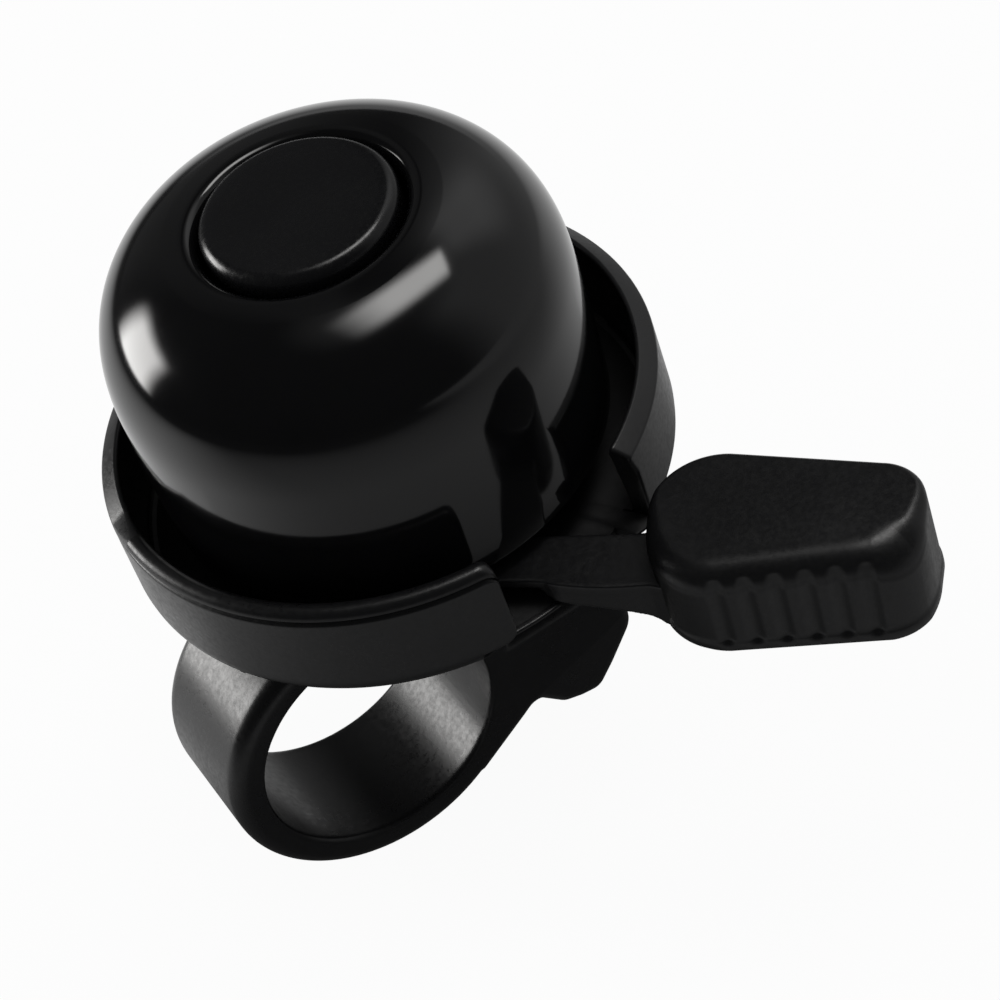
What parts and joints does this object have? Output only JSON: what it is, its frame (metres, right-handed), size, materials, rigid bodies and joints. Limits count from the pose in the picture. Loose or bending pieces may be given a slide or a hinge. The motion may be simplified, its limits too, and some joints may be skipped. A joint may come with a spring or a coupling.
{
  "type": "bicycle bell",
  "caption": "Thumb-lever bicycle bell: gloss black dome over a black cup with a side lever, clamped round a handlebar by a hinged strap.",
  "frame": {"origin": "on the handlebar's axis, midway along the clamp's width", "axes": "+Z from the handlebar up through the dome's crown, +Y along the handlebar, +X from the strap's hinge side to its screw"},
  "size_m": [0.0562, 0.0669, 0.0666],
  "materials": {
    "gloss_paint": "high gloss",
    "black_plastic": "satin",
    "steel": "zinc plated",
    "brass": "machined",
    "nylon": "moulded"
  },
  "bodies": {
    "base": {"base_body": "black_plastic", "dome": "gloss_paint", "dome_collar": "nylon", "dome_washer": "steel", "dome_lock_washer": "steel", "dome_screw": "steel", "dome_cap": "black_plastic", "post_insert": "brass", "lever_pivot_screw": "steel", "lever_thrust_washer": "nylon", "hammer_pin": "steel", "strap_hinge_pin": "steel", "clamp_nut": "steel", "lever_spring": "steel", "hammer_spring": "steel"},
    "lever": {"thumb_lever": "black_plastic"},
    "hammer": {"hammer_arm": "black_plastic", "striker": "steel"},
    "strap": {"clamp_strap": "black_plastic"},
    "washer": {"clamp_washer": "steel"},
    "screw": {"clamp_screw": "steel"}
  },
  "joints": [
    {"name": "lever_turn", "type": "hinge", "parent": "base", "child": "lever", "pos_m": [0.00351, -0.0087, 0.0237], "axis": [0, 0, 1], "range_deg": [0, 8.5], "stiffness_Nm_per_rad": 0.25, "springref_deg": -6.88, "deforming": ["lever_spring"]},
    {"name": "hammer_turn", "type": "hinge", "parent": "base", "child": "hammer", "pos_m": [0.0034, 0.0115, 0.0252], "axis": [0, 0, 1], "range_deg": [-7.33, 0], "stiffness_Nm_per_rad": 0.03, "springref_deg": 6.88, "deforming": ["hammer_spring"]},
    {"name": "strap_turn", "type": "hinge", "parent": "base", "child": "strap", "pos_m": [-0.00131, 0, 0.01494], "axis": [0, 1, 0], "range_deg": [0, 1.5]},
    {"name": "washer_slide", "type": "slide", "parent": "base", "child": "washer", "axis": [0, 0, -1], "range_m": [0, 0.000625]},
    {"name": "screw_turn", "type": "hinge", "parent": "washer", "child": "screw", "pos_m": [0.0196, 0, -0.008], "axis": [0, 0, -1], "range_deg": [0, 318]}
  ],
  "couplings": [
    {"joint": "hammer_turn", "follows": "lever_turn", "ratio": -0.85},
    {"joint": "washer_slide", "follows": "strap_turn", "m_per_rad": 0.0235},
    {"joint": "screw_turn", "follows": "strap_turn", "ratio": 210.94}
  ]
}
